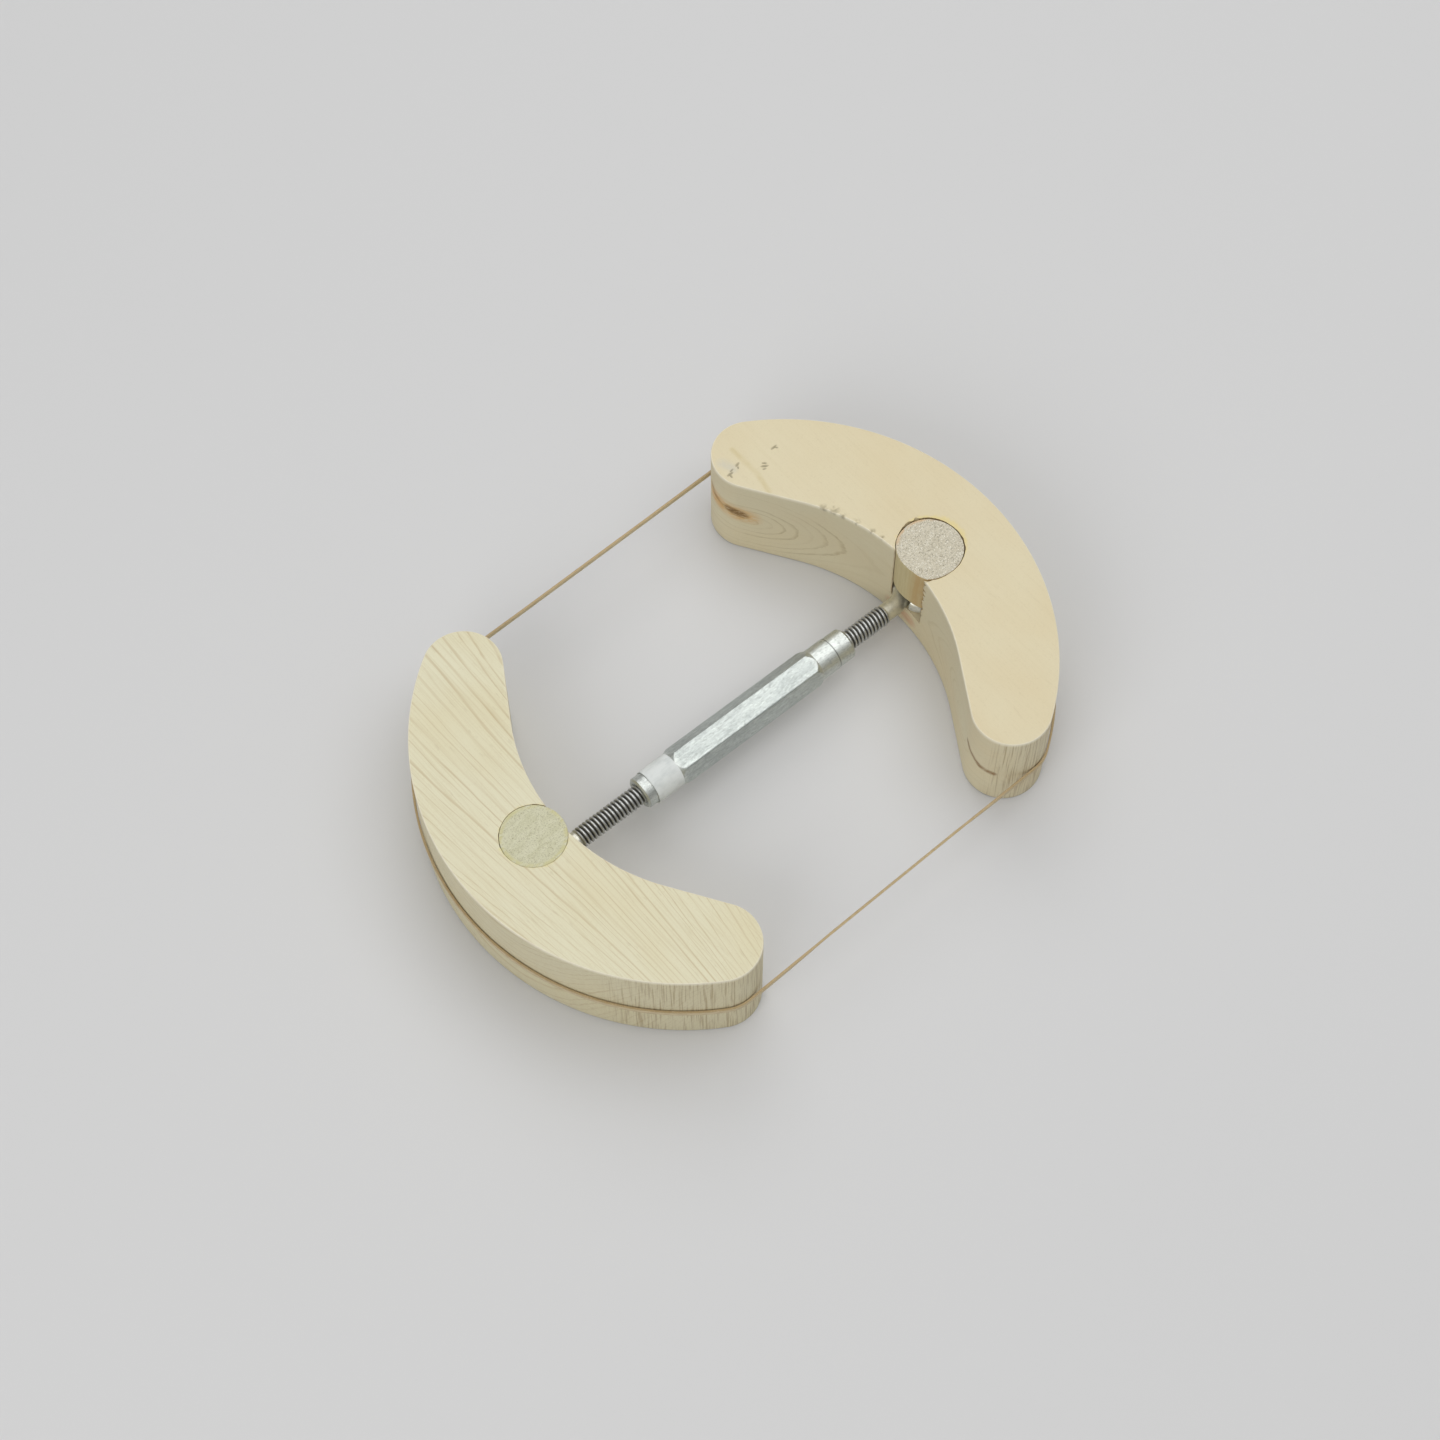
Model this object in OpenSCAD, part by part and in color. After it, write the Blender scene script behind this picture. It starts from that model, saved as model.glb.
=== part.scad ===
// Two-piece wooden hat stretcher: a pair of crescent blocks pushed apart by a
// hexagonal turnbuckle, with an elastic band that draws them together.
// Millimetres. +X runs from the front block to the rear block, +Z is up,
// and the origin is at the middle of the resting face.

/* [Blocks] */
// Length over both blocks as stored
overall_length = 192; // [172:1:216]
// Width of a block from tip to tip
block_width = 134; // [116:1:156]
// Depth of a block from its nose to the ends of its tips
block_depth = 53.7; // [46:0.1:62]
// Thickness of a block
block_thickness = 34; // [26:0.5:44]
// Wood left between the nose and the middle of the hollow
waist = 32; // [29.5:0.1:33]
// Radius of the rounded tips
tip_radius = 11.5; // [8:0.1:14]
// Straight stretch between the hollow and each tip
flank_straight = 19; // [8:0.5:26]

/* [Eye sockets] */
// Diameter of the round socket drilled for each eye
socket_d = 19.05; // [18:0.05:21]
// Distance from the nose to the middle of the socket
socket_inset = 24; // [23:0.1:25.5]
// Sideways offset of the socket from the middle of its block
socket_shift = 1.7; // [0:0.1:2.5]
// Glue gap around each plug
plug_gap = 0.05; // [0.02:0.01:0.2]
// Free height between an eye and the plug above it
plug_rise = 2; // [0.1:0.1:4]

/* [Eye bolts] */
// Height of the bolts and the sleeve above the resting face
axis_height = 12; // [9:0.1:18]
// Diameter of the plain bolt wire
wire_d = 5.5; // [4.5:0.1:5.9]
// Outer diameter of the thread
thread_d = 6.2; // [6:0.05:6.6]
// Advance of the thread in one turn
thread_pitch = 1.27; // [0.8:0.01:1.6]
// Distance from the middle of the eye to the start of the thread
thread_start = 15.4; // [14:0.1:20]
// Distance from the middle of the eye to the tip of the bolt
bolt_length = 58; // [50:0.5:60]
// Radius of the bend between the shank and the eye, at the middle of the wire
neck_radius = 7; // [5:0.5:8]
// Angle between the shank and the cut end of the eye
eye_gap_angle = 18; // [17:1:40]
// Gap round the eye and below it
eye_clear = 0.1; // [0.05:0.01:0.3]

/* [Turnbuckle sleeve] */
// Length of the sleeve
sleeve_length = 77; // [70:0.5:84]
// Distance across the flats of the hexagon
across_flats = 10.3; // [9.5:0.1:12]
// How far the sleeve sits towards the rear block
sleeve_offset = 3; // [-4:0.5:4]
// Angle of the uppermost flat at rest
sleeve_turn = 13; // [-30:1:30]
// Length of each turned end, up to the taper
turned_length = 12.2; // [8:0.1:16]
// Depth that a turned end lies below the flats
end_cut = 0.1; // [0.05:0.05:0.4]
// Length of the taper between a turned end and the hexagon
taper_length = 2.1; // [1:0.1:4]
// Length of the stepped spigot at each end
spigot_length = 5.8; // [3:0.1:7.5]
// Depth of the step between a spigot and its turned end
spigot_step = 0.15; // [0.05:0.05:0.4]
// Chamfer on the rims of the sleeve
rim_chamfer = 0.5; // [0.2:0.1:0.8]
// Gap between the thread and its bore
thread_clear = 0.05; // [0.02:0.01:0.1]

/* [Elastic band] */
// Level of the middle of the band above the resting face
band_level = 14.3; // [6:0.1:22]
// Height of the band
band_height = 1.8; // [1:0.1:4]
// Thickness of the band
band_thickness = 0.7; // [0.5:0.1:1.5]
// Gap between the band and the wood
band_gap = 0.2; // [0.1:0.05:0.5]

/* [Hidden] */
$fn = 96;
// How deep neighbouring arcs and bends bite into each other, so that they join cleanly
lap = 0.02;
lap_angle = 1;
// How far a cutting corner stands past what it cuts
beyond = 3;

// Tip circle, in the frame of a block: x from the nose inwards, y across
tip_x = block_depth - tip_radius;
tip_y = block_width / 2 - tip_radius;
// Outer arc that runs through the nose and blends into both tips
outer_radius = (tip_x * tip_x + tip_y * tip_y - tip_radius * tip_radius) / (2 * (tip_x - tip_radius));
outer_angle = asin(tip_y / (outer_radius - tip_radius));
// Hollow arc in the middle, joined to the tips by straight flanks
tip_reach = tip_x - waist;
hollow_radius = (tip_reach * tip_reach + tip_y * tip_y - tip_radius * tip_radius
    - flank_straight * flank_straight) / (2 * (tip_radius + tip_reach));
hollow_x = waist + hollow_radius;
hollow_reach = norm([hollow_x - tip_x, tip_y]);
flank_angle = atan2(tip_y, hollow_x - tip_x) - acos((hollow_radius + tip_radius) / hollow_reach);

// Turn of the blocks that brings both sockets onto the line of the bolts
skew = atan2(socket_shift, overall_length / 2 - socket_inset);

// Heights
socket_floor = axis_height - wire_d / 2 - eye_clear;
plug_bottom = axis_height + wire_d / 2 + plug_rise;

// Eye and neck, in the frame of a bolt: x along the shank from the middle of the eye
eye_x = overall_length / 2 - socket_inset;
eye_reach = norm([eye_x, socket_shift]);
eye_radius = socket_d / 2 - eye_clear - wire_d / 2;
neck_x = sqrt(eye_radius * eye_radius + 2 * eye_radius * neck_radius);
neck_angle = atan2(neck_radius, neck_x);
runout = thread_pitch;
bolt_tip_chamfer = thread_pitch;

// Sleeve
hex_corner_d = across_flats / cos(30);
bore_d = thread_d + 2 * thread_clear;

// Point at a distance and angle from a centre
function polar(centre, radius, angle) = centre + radius * [cos(angle), sin(angle)];

// Corners of one side followed by their mirror images on the other side
function both_sides(corners) =
    concat(corners, [for (i = [len(corners) - 1:-1:0]) [corners[i].x, -corners[i].y]]);

// Outer arc and tips of a block, grown by a margin, and cut off along a line of corners
module nose_and_tips(grow, inner_corners) {
    tip_centre = [tip_x, tip_y];
    outside = [
        [-2 * beyond, block_width],
        polar(tip_centre, tip_radius + beyond, 180 - outer_angle),
        tip_centre
    ];
    intersection() {
        translate([outer_radius, 0]) circle(r = outer_radius + grow);
        polygon(both_sides(concat(outside, inner_corners)));
    }
    for (side = [-1, 1])
        translate([tip_x, side * tip_y]) circle(r = tip_radius + grow + lap);
}

// Outline of a block with its nose at the origin and its tips towards +X
module block_outline() {
    flank = [
        polar([tip_x, tip_y], tip_radius, -flank_angle),
        polar([hollow_x, 0], hollow_radius, 180 - flank_angle),
        [hollow_x, lap]
    ];
    difference() {
        nose_and_tips(0, flank);
        translate([hollow_x, 0]) circle(r = hollow_radius + lap);
    }
}

// Outline of both blocks with straight runs between their tips, grown by a margin
module loop_outline(grow) {
    run = overall_length / 2 - tip_x;
    for (turn = [0, 180])
        rotate(turn) translate([-overall_length / 2, 0])
            nose_and_tips(grow, [[tip_x + beyond, tip_y]]);
    square([2 * run, block_width + 2 * grow], center = true);
}

// Crescent block with its drilled eye socket
module block() {
    difference() {
        translate([-overall_length / 2, 0, 0])
            linear_extrude(block_thickness) block_outline();
        translate([-eye_x, socket_shift, socket_floor])
            cylinder(d = socket_d, h = block_thickness);
    }
}

// Round plug glued in over the eye, flush with the top of its block
module plug() {
    translate([-eye_x, socket_shift, plug_bottom])
        cylinder(d = socket_d - 2 * plug_gap, h = block_thickness - plug_bottom);
}

// Wire bent round a centre, from one angle to another
module bent_wire(radius, diameter, from, to) {
    rotate([0, 0, from])
        rotate_extrude(angle = to - from)
            translate([radius, 0]) circle(d = diameter);
}

// Shank of a bolt, as radius against distance from the middle of the eye
module shank_profile() {
    tip_d = thread_d - bolt_tip_chamfer;
    polygon([
        [0, neck_x - lap],
        [wire_d / 2, neck_x - lap],
        [wire_d / 2, thread_start],
        [thread_d / 2, thread_start + runout],
        [thread_d / 2, bolt_length - bolt_tip_chamfer],
        [tip_d / 2, bolt_length],
        [0, bolt_length]
    ]);
}

// Bent-wire eye with its shank along +X and its neck leaving to the -Y side
module eye_bolt() {
    eye_end = 360 - neck_angle;
    translate([-eye_reach, 0, axis_height]) {
        bent_wire(eye_radius, wire_d, eye_gap_angle, eye_end + lap_angle);
        translate([neck_x, -neck_radius, 0])
            bent_wire(neck_radius, wire_d + 2 * lap, 90 - lap_angle, 180 - neck_angle + lap_angle);
        rotate([0, 90, 0]) rotate_extrude() shank_profile();
    }
}

// Half of the turned envelope of the sleeve, as radius against distance from the middle
module sleeve_profile() {
    half = sleeve_length / 2;
    end_r = across_flats / 2 - end_cut;
    spigot_r = end_r - spigot_step;
    corner_r = hex_corner_d / 2 + lap;
    hex_half = half - turned_length - taper_length;
    mouth_r = bore_d / 2 + rim_chamfer;
    half_outline = [
        [bore_d / 2, half - rim_chamfer],
        [mouth_r, half],
        [spigot_r - rim_chamfer, half],
        [spigot_r, half - rim_chamfer],
        [spigot_r, half - spigot_length],
        [end_r, half - spigot_length],
        [end_r, half - turned_length],
        [corner_r, hex_half]
    ];
    far_half = [for (i = [len(half_outline) - 1:-1:0]) [half_outline[i].x, -half_outline[i].y]];
    polygon(concat(half_outline, far_half));
}

module front_block() {
    color("burlywood") rotate([0, 0, skew]) block();
}

module rear_block() {
    color("burlywood") rotate([0, 0, 180 + skew]) block();
}

module front_plug() {
    color("tan") rotate([0, 0, skew]) plug();
}

module rear_plug() {
    color("tan") rotate([0, 0, 180 + skew]) plug();
}

// The front bolt has a right-hand thread and the rear bolt a left-hand one
module front_eye_bolt() {
    color("silver") eye_bolt();
}

module rear_eye_bolt() {
    color("silver") rotate([0, 0, 180]) eye_bolt();
}

// Hexagonal bar with turned ends and a bore tapped from both ends
module sleeve() {
    color("gainsboro")
        translate([sleeve_offset, 0, axis_height]) rotate([sleeve_turn, 0, 0]) rotate([0, 90, 0])
            intersection() {
                rotate([0, 0, 30])
                    cylinder(d = hex_corner_d, h = sleeve_length, center = true, $fn = 6);
                rotate_extrude() sleeve_profile();
            }
}

// Elastic loop stretched round the noses and tips of both blocks
module elastic_band() {
    color("peru")
        translate([0, 0, band_level - band_height / 2]) rotate([0, 0, skew])
            linear_extrude(band_height)
                difference() {
                    loop_outline(band_gap + band_thickness);
                    loop_outline(band_gap);
                }
}

front_block();
rear_block();
front_plug();
rear_plug();
front_eye_bolt();
rear_eye_bolt();
sleeve();
elastic_band();
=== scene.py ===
"""Looks of a two-piece wooden hat stretcher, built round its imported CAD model.

Shapes are worked out in millimetres and become metres when a mesh is made.
"""
import math

import bmesh
import bpy
import numpy as np
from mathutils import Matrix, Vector, noise


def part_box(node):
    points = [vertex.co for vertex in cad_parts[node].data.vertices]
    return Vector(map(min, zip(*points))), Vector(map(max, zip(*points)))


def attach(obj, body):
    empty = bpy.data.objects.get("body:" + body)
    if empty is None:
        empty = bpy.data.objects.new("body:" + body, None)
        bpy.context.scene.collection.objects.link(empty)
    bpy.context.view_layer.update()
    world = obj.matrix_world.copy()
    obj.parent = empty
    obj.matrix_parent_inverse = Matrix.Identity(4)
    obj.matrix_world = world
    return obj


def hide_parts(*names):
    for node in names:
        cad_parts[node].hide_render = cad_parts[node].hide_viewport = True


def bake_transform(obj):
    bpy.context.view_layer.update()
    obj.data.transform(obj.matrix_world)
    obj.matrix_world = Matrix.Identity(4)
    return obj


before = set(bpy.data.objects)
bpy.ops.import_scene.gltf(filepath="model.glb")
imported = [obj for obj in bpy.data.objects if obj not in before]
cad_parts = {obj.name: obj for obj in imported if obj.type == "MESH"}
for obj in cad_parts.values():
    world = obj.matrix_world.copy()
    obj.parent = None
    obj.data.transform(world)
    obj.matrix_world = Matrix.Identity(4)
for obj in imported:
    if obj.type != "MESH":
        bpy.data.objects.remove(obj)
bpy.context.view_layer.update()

MM = 0.001


def node_box(node):
    """Lowest and highest corner of a CAD node, in millimetres."""
    low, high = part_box(node)
    return np.array(low) / MM, np.array(high) / MM


# Sizes that the CAD nodes give
plug_low, plug_high = node_box("front_plug")
_, bolt_high = node_box("front_eye_bolt")
sleeve_low, sleeve_high = node_box("sleeve")
band_low, band_high = node_box("elastic_band")
BLOCK_TOP = plug_high[2]
PLUG_RADIUS = (plug_high[1] - plug_low[1]) / 2
PLUG_BOTTOM = plug_low[2]
EYE_X = (plug_low[0] + plug_high[0]) / 2
AXIS_Z = (sleeve_low[2] + sleeve_high[2]) / 2
BOLT_END = bolt_high[0] - EYE_X
BAND_LEVEL = (band_low[2] + band_high[2]) / 2
BAND_HEIGHT = band_high[2] - band_low[2]
SLEEVE_FRONT, SLEEVE_REAR = sleeve_low[0], sleeve_high[0]

# Sizes that the CAD source names
OVERALL_LENGTH = 192
BLOCK_WIDTH = 134
BLOCK_DEPTH = 53.7
WAIST = 32
TIP_RADIUS = 11.5
FLANK_STRAIGHT = 19
SOCKET_RADIUS = 9.525
SOCKET_INSET = 24
SOCKET_SHIFT = 1.7
WIRE_RADIUS = 2.75
EYE_CLEAR = 0.1
NECK_RADIUS = 7
EYE_GAP = math.radians(18)
THREAD_START = 15.4
THREAD_RADIUS = 3.1
THREAD_PITCH = 1.27
ACROSS_FLATS = 10.3
SLEEVE_TURN = math.radians(13)
TURNED_LENGTH = 12.2
TURNED_RADIUS = 5.05
TAPER_LENGTH = 2.1
SPIGOT_LENGTH = 5.8
SPIGOT_RADIUS = 4.9
RIM_CHAMFER = 0.5
BORE_RADIUS = 3.15
BAND_GAP = 0.2
BAND_THICKNESS = 0.7

# Sizes that only the looks need
FRONT_THREAD_START = 13.85
THREAD_ROOT = 2.34
BAND_EDGE = 0.16

# Sizes that follow from these
NOSE_X = -OVERALL_LENGTH / 2
SOCKET_X = NOSE_X + SOCKET_INSET
SOCKET_FLOOR = AXIS_Z - WIRE_RADIUS - EYE_CLEAR
EYE_RADIUS = SOCKET_RADIUS - EYE_CLEAR - WIRE_RADIUS
SLEEVE_HALF = (SLEEVE_REAR - SLEEVE_FRONT) / 2
SLEEVE_MIDDLE = (SLEEVE_REAR + SLEEVE_FRONT) / 2
HEX_HALF = SLEEVE_HALF - TURNED_LENGTH - TAPER_LENGTH
# Turn of the blocks that brings both sockets onto the line of the bolts
SKEW = math.atan2(SOCKET_SHIFT, -SOCKET_X)

# Outline of a block, nose at the origin and tips towards +X
TIP_X = BLOCK_DEPTH - TIP_RADIUS
TIP_Y = BLOCK_WIDTH / 2 - TIP_RADIUS
OUTER_RADIUS = (TIP_X ** 2 + TIP_Y ** 2 - TIP_RADIUS ** 2) / (2 * (TIP_X - TIP_RADIUS))
OUTER_ANGLE = math.asin(TIP_Y / (OUTER_RADIUS - TIP_RADIUS))
TIP_REACH = TIP_X - WAIST
HOLLOW_RADIUS = ((TIP_REACH ** 2 + TIP_Y ** 2 - TIP_RADIUS ** 2 - FLANK_STRAIGHT ** 2)
                 / (2 * (TIP_RADIUS + TIP_REACH)))
HOLLOW_X = WAIST + HOLLOW_RADIUS
FLANK_ANGLE = (math.atan2(TIP_Y, HOLLOW_X - TIP_X)
               - math.acos((HOLLOW_RADIUS + TIP_RADIUS) / math.hypot(HOLLOW_X - TIP_X, TIP_Y)))
TIP_END = math.radians(44.5)

# Bend of a bolt from its eye into its shank
NECK_X = math.sqrt(EYE_RADIUS ** 2 + 2 * EYE_RADIUS * NECK_RADIUS)
NECK_ANGLE = math.atan2(NECK_RADIUS, NECK_X)


def skewed(points):
    """Points of a straight block or band, turned as the blocks are."""
    points = np.array(points, float)
    x, y = points[:, 0].copy(), points[:, 1].copy()
    points[:, 0] = x * math.cos(SKEW) - y * math.sin(SKEW)
    points[:, 1] = x * math.sin(SKEW) + y * math.cos(SKEW)
    return points


def srgb(red, green, blue):
    """Linear colour of 8-bit display values."""
    return tuple(((c / 255 + 0.055) / 1.055) ** 2.4 for c in (red, green, blue)) + (1.0,)


class Graph:
    """Short calls for adding nodes to a shader or geometry tree."""

    def __init__(self, tree):
        self.tree = tree

    def feed(self, socket, value):
        if isinstance(value, bpy.types.NodeSocket):
            self.tree.links.new(value, socket)
        else:
            socket.default_value = value

    def add(self, kind, inputs=None, **settings):
        node = self.tree.nodes.new(kind)
        for name, value in settings.items():
            setattr(node, name, value)
        for name, value in (inputs or {}).items():
            self.feed(node.inputs[name], value)
        return node

    def math(self, operation, *values, clamp=False):
        node = self.add("ShaderNodeMath", operation=operation, use_clamp=clamp)
        for socket, value in zip(node.inputs, values):
            self.feed(socket, value)
        return node.outputs[0]

    def times(self, first, second):
        return self.math("MULTIPLY", first, second)

    def less(self, first, second):
        return self.math("SUBTRACT", first, second)

    def scaled_sum(self, value, factor, base):
        return self.math("MULTIPLY_ADD", value, factor, base)

    def ramp(self, value, low, high, to_low=0.0, to_high=1.0, smooth=True):
        names = ("Value", "From Min", "From Max", "To Min", "To Max")
        inputs = dict(zip(names, (value, low, high, to_low, to_high)))
        kind = "SMOOTHSTEP" if smooth else "LINEAR"
        return self.add("ShaderNodeMapRange", inputs, interpolation_type=kind).outputs[0]

    def mix(self, factor, first, second, blend="MIX"):
        node = self.add("ShaderNodeMix", data_type="RGBA", blend_type=blend, clamp_factor=True)
        for index, value in ((0, factor), (6, first), (7, second)):
            self.feed(node.inputs[index], value)
        return node.outputs[2]

    def vector(self, operation, first, second):
        return self.add("ShaderNodeVectorMath", {0: first, 1: second}, operation=operation).outputs

    def scaled(self, vector, factors):
        return self.vector("MULTIPLY", vector, factors)[0]

    def moved(self, vector, shift):
        return self.vector("ADD", vector, shift)[0]

    def join(self, x, y, z):
        return self.add("ShaderNodeCombineXYZ", {"X": x, "Y": y, "Z": z}).outputs[0]

    def split(self, vector):
        return self.add("ShaderNodeSeparateXYZ", {0: vector}).outputs[:3]

    def reach(self, across, along):
        """Distance from the origin of a point in a plane."""
        squares = [self.math("POWER", value, 2.0) for value in (across, along)]
        return self.math("SQRT", self.math("ADD", *squares))

    def noise(self, vector, factors, detail=2.0, roughness=0.5, distortion=0.0):
        """Noise from 0 to 1, with a number of waves a millimetre along each axis."""
        inputs = {"Vector": self.scaled(vector, factors), "Scale": 1.0, "Detail": detail,
                  "Roughness": roughness, "Distortion": distortion}
        return self.add("ShaderNodeTexNoise", inputs).outputs[0]


class Finish(Graph):
    """A node material with its pattern laid out in millimetres, turned if need be."""

    def __init__(self, name, turn=0.0, **sockets):
        self.material = bpy.data.materials.new(name)
        self.material.use_nodes = True
        super().__init__(self.material.node_tree)
        self.shader = self.tree.nodes["Principled BSDF"]
        for socket, value in sockets.items():
            self.shader.inputs[socket.replace("_", " ")].default_value = value
        place = self.add("ShaderNodeTexCoord")
        inputs = {"Vector": place.outputs["Object"], "Rotation": (0, 0, turn),
                  "Scale": (1 / MM, 1 / MM, 1 / MM)}
        self.place = self.add("ShaderNodeMapping", inputs).outputs[0]
        self.normal = place.outputs["Normal"]

    def attribute(self, name):
        return self.add("ShaderNodeAttribute", attribute_name=name).outputs["Fac"]

    def stroke(self, start, end, width, solid):
        """1 along the line between two points, falling to 0 at a width from it."""
        along = Vector(end) - Vector(start)
        offset = self.moved(self.place, tuple(-c for c in start))
        share = self.vector("DOT_PRODUCT", offset, tuple(along / along.length_squared))["Value"]
        share = self.math("ADD", share, 0.0, clamp=True)
        foot = self.add("ShaderNodeVectorMath", {0: tuple(along), "Scale": share}, operation="SCALE")
        gap = self.vector("DISTANCE", offset, foot.outputs[0])["Value"]
        return self.ramp(gap, solid * width, width, 1.0, 0.0)

    def chain(self, points, width, solid):
        """1 along a line through several points, falling to 0 at a width from it."""
        near = self.stroke(points[0], points[1], width, solid)
        for start, end in zip(points[1:], points[2:]):
            near = self.math("MAXIMUM", near, self.stroke(start, end, width, solid))
        return near

    def paint(self, colour, roughness, height=None, distance=0.1, strength=1.0):
        self.feed(self.shader.inputs["Base Color"], colour)
        self.feed(self.shader.inputs["Roughness"], roughness)
        if height is not None:
            inputs = {"Height": height, "Distance": distance * MM, "Strength": strength}
            bump = self.add("ShaderNodeBump", inputs)
            self.feed(self.shader.inputs["Normal"], bump.outputs[0])
        return self.material


def growth_rings(f, rings, line_start):
    """Late wood of the growth rings, from 0 to 1, and the distance from the pith."""
    x, y, z = f.split(f.place)
    slow = f.less(f.noise(f.place, (0.055, 0.009, 0.055)), 0.5)
    quick = f.less(f.noise(f.place, (0.5, 0.04, 0.5)), 0.5)
    # The rings draw together towards one tip
    across = f.less(x, rings["middle"])
    across = f.math("DIVIDE", across, f.scaled_sum(y, rings["closing"], 1.0))
    across = f.math("ADD", across, rings["middle"] - rings["pith"][0])
    across = f.scaled_sum(y, rings["lean"], across)
    radius = f.reach(across, f.less(z, rings["pith"][1]))
    radius = f.scaled_sum(slow, rings["wander"], radius)
    radius = f.scaled_sum(quick, 0.9, radius)
    count = f.math("DIVIDE", radius, rings["gap"])
    spread = f.add("ShaderNodeTexNoise", {"W": count, "Scale": 0.45, "Detail": 1.0}, noise_dimensions="1D")
    spread = f.less(spread.outputs[0], 0.5)
    count = f.scaled_sum(spread, rings["uneven"], count)
    part = f.math("FRACT", count)
    chance = f.add("ShaderNodeTexWhiteNoise", {"W": f.math("FLOOR", count)}, noise_dimensions="1D")
    late = f.times(f.ramp(part, line_start, 0.9), f.ramp(part, 0.91, 1.0, 1.0, 0.0))
    late = f.times(late, f.ramp(chance.outputs[0], 0.0, 1.0, 0.2, 1.0, smooth=False))
    return late, radius


def clear_lines(f, rings, radius):
    """Share of the lines that shows: less far from the pith, above and below it, and on the right half."""
    _, y, z = f.split(f.place)
    from_pith = f.math("ABSOLUTE", f.less(z, rings["pith"][1] - 2.0))
    clear = f.ramp(radius, rings["clear"], rings["clear"] + 3.0, 1.0, 0.15)
    clear = f.times(clear, f.ramp(from_pith, rings["tall"], rings["tall"] + 5.0, 1.0, 0.25))
    return f.times(clear, f.ramp(y, -12.0, 8.0, rings["right_share"], 1.0))


def socket_traces(f, colour, tone, topside, wall):
    """Torn wall of the socket, with painted shade where it shows in the joint's gap, and dried glue round
    the plug.
    """
    splinter = f.noise(f.place, (1.6, 1.6, 0.5), 3.0, 0.7)
    torn_and_gap_shade = f.times(f.attribute("torn_and_gap_shade"), f.ramp(splinter, 0.3, 0.6, 0.35, 0.95))
    # Brown of torn fibres on the socket wall, partly painted shade in the joint's gap
    colour = f.mix(f.times(torn_and_gap_shade, wall), colour, tone["torn_and_gap_shade"])
    ragged = f.less(f.noise(f.place, (0.6, 0.6, 0.1), 4.0, 0.7), 0.5)
    wet = f.scaled_sum(ragged, 3.2, f.attribute("glue"))
    wet = f.times(f.ramp(wet, 0.0, 1.3, 0.0, 0.75), topside)
    return f.mix(wet, colour, tone["glue"])


def wear(f, colour, tone, marks):
    """Knots, stains and scuffs along short lines, then a painted highlight on the arrises and painted shade
    in the dents.
    """
    worn = f.noise(f.place, (0.8, 0.35, 1.4), 3.0, 0.6)
    for points, width, solid, shade, share in marks:
        shown = f.ramp(worn, 0.32, 0.6, 0.45 * share, share)
        near = f.times(f.chain(points, width, solid), shown)
        colour = f.mix(near, colour, shade)
    # Painted highlight: a pale colour along the arrises of the top, where the edges catch the light
    colour = f.mix(f.times(f.attribute("arris"), 0.7), colour, tone["arris"])
    # Painted shade: a dark grey-brown in the dents and torn spots of the top
    return f.mix(f.times(f.attribute("dent_shade"), 0.6), colour, tone["dent_shade"])


def pine(name, tone, rings, marks):
    """Bare sanded pine, grain along Y: growth rings, fibres, saw marks, glue and wear."""
    f = Finish(name, -SKEW, Specular_IOR_Level=0.3)
    y = f.split(f.place)[1]
    facing = f.split(f.normal)
    topside = f.ramp(f.math("ABSOLUTE", facing[2]), 0.5, 0.85)
    wall = f.less(1.0, topside)
    right_end = f.ramp(facing[1], -0.75, -0.15, 1.0, 0.0)
    right_end = f.times(right_end, f.ramp(y, -46.0, -40.0, 1.0, 0.0))
    endwise = f.math("MAXIMUM", f.ramp(facing[1], 0.45, 0.95), right_end)
    late, radius = growth_rings(f, rings, tone["line_start"])
    # Fibres, specks and slow changes of tone
    fibre = f.noise(f.place, (2.4, 0.045, 2.4), 3.0, 0.6)
    streak = f.noise(f.place, (0.6, 0.03, 0.6), 3.0, 0.6)
    blotch = f.noise(f.place, (0.045, 0.03, 0.045))
    speck = f.noise(f.place, (1.9, 1.9, 1.9), 2.0, 0.6)
    fleck = f.noise(f.place, (1.1, 0.22, 1.1), 1.0)
    # How strongly the rings show on each face
    line_share = f.times(late, f.ramp(streak, 0.3, 0.62, 0.45, 1.0))
    by_face = f.ramp(topside, 0.0, 1.0, tone["side_lines"], tone["top_lines"])
    line_share = f.times(line_share, by_face)
    at_tip = f.times(f.ramp(f.math("ABSOLUTE", y), 40.0, 54.0, 0.0, 0.6), wall)
    line_share = f.times(line_share, f.less(1.0, at_tip))
    line_share = f.times(line_share, clear_lines(f, rings, radius))
    colour = f.mix(topside, tone["side"], tone["top"])
    colour = f.mix(f.ramp(blotch, 0.3, 0.75, 0.0, tone["blotch_share"]), colour, tone["blotch"])
    colour = f.mix(line_share, colour, tone["line"])
    colour = f.mix(f.ramp(fibre, 0.42, 0.75, 0.0, tone["fibre_share"]), colour, tone["fibre"])
    colour = f.mix(f.ramp(speck, 0.52, 0.8, 0.0, tone["speck_share"]), colour, tone["fibre"])
    colour = f.mix(f.ramp(fleck, 0.68, 0.78, 0.0, tone["fleck_share"]), colour, tone["saw"])
    # Saw marks on the ends of the tips
    saw = f.noise(f.place, (2.2, 2.2, 0.06), 2.0, 0.6)
    end_share = f.times(f.ramp(saw, 0.46, 0.66, 0.0, 0.6), f.times(endwise, wall))
    colour = f.mix(end_share, colour, tone["saw"])
    colour = socket_traces(f, colour, tone, topside, wall)
    colour = wear(f, colour, tone, marks)
    height = f.scaled_sum(fibre, -0.5, f.times(late, 0.4))
    height = f.scaled_sum(end_share, -1.2, height)
    roughness = f.ramp(f.math("ADD", fibre, late), 0.3, 1.3, 0.52, 0.66)
    return f.paint(colour, roughness, height, distance=0.05, strength=0.7)


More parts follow.
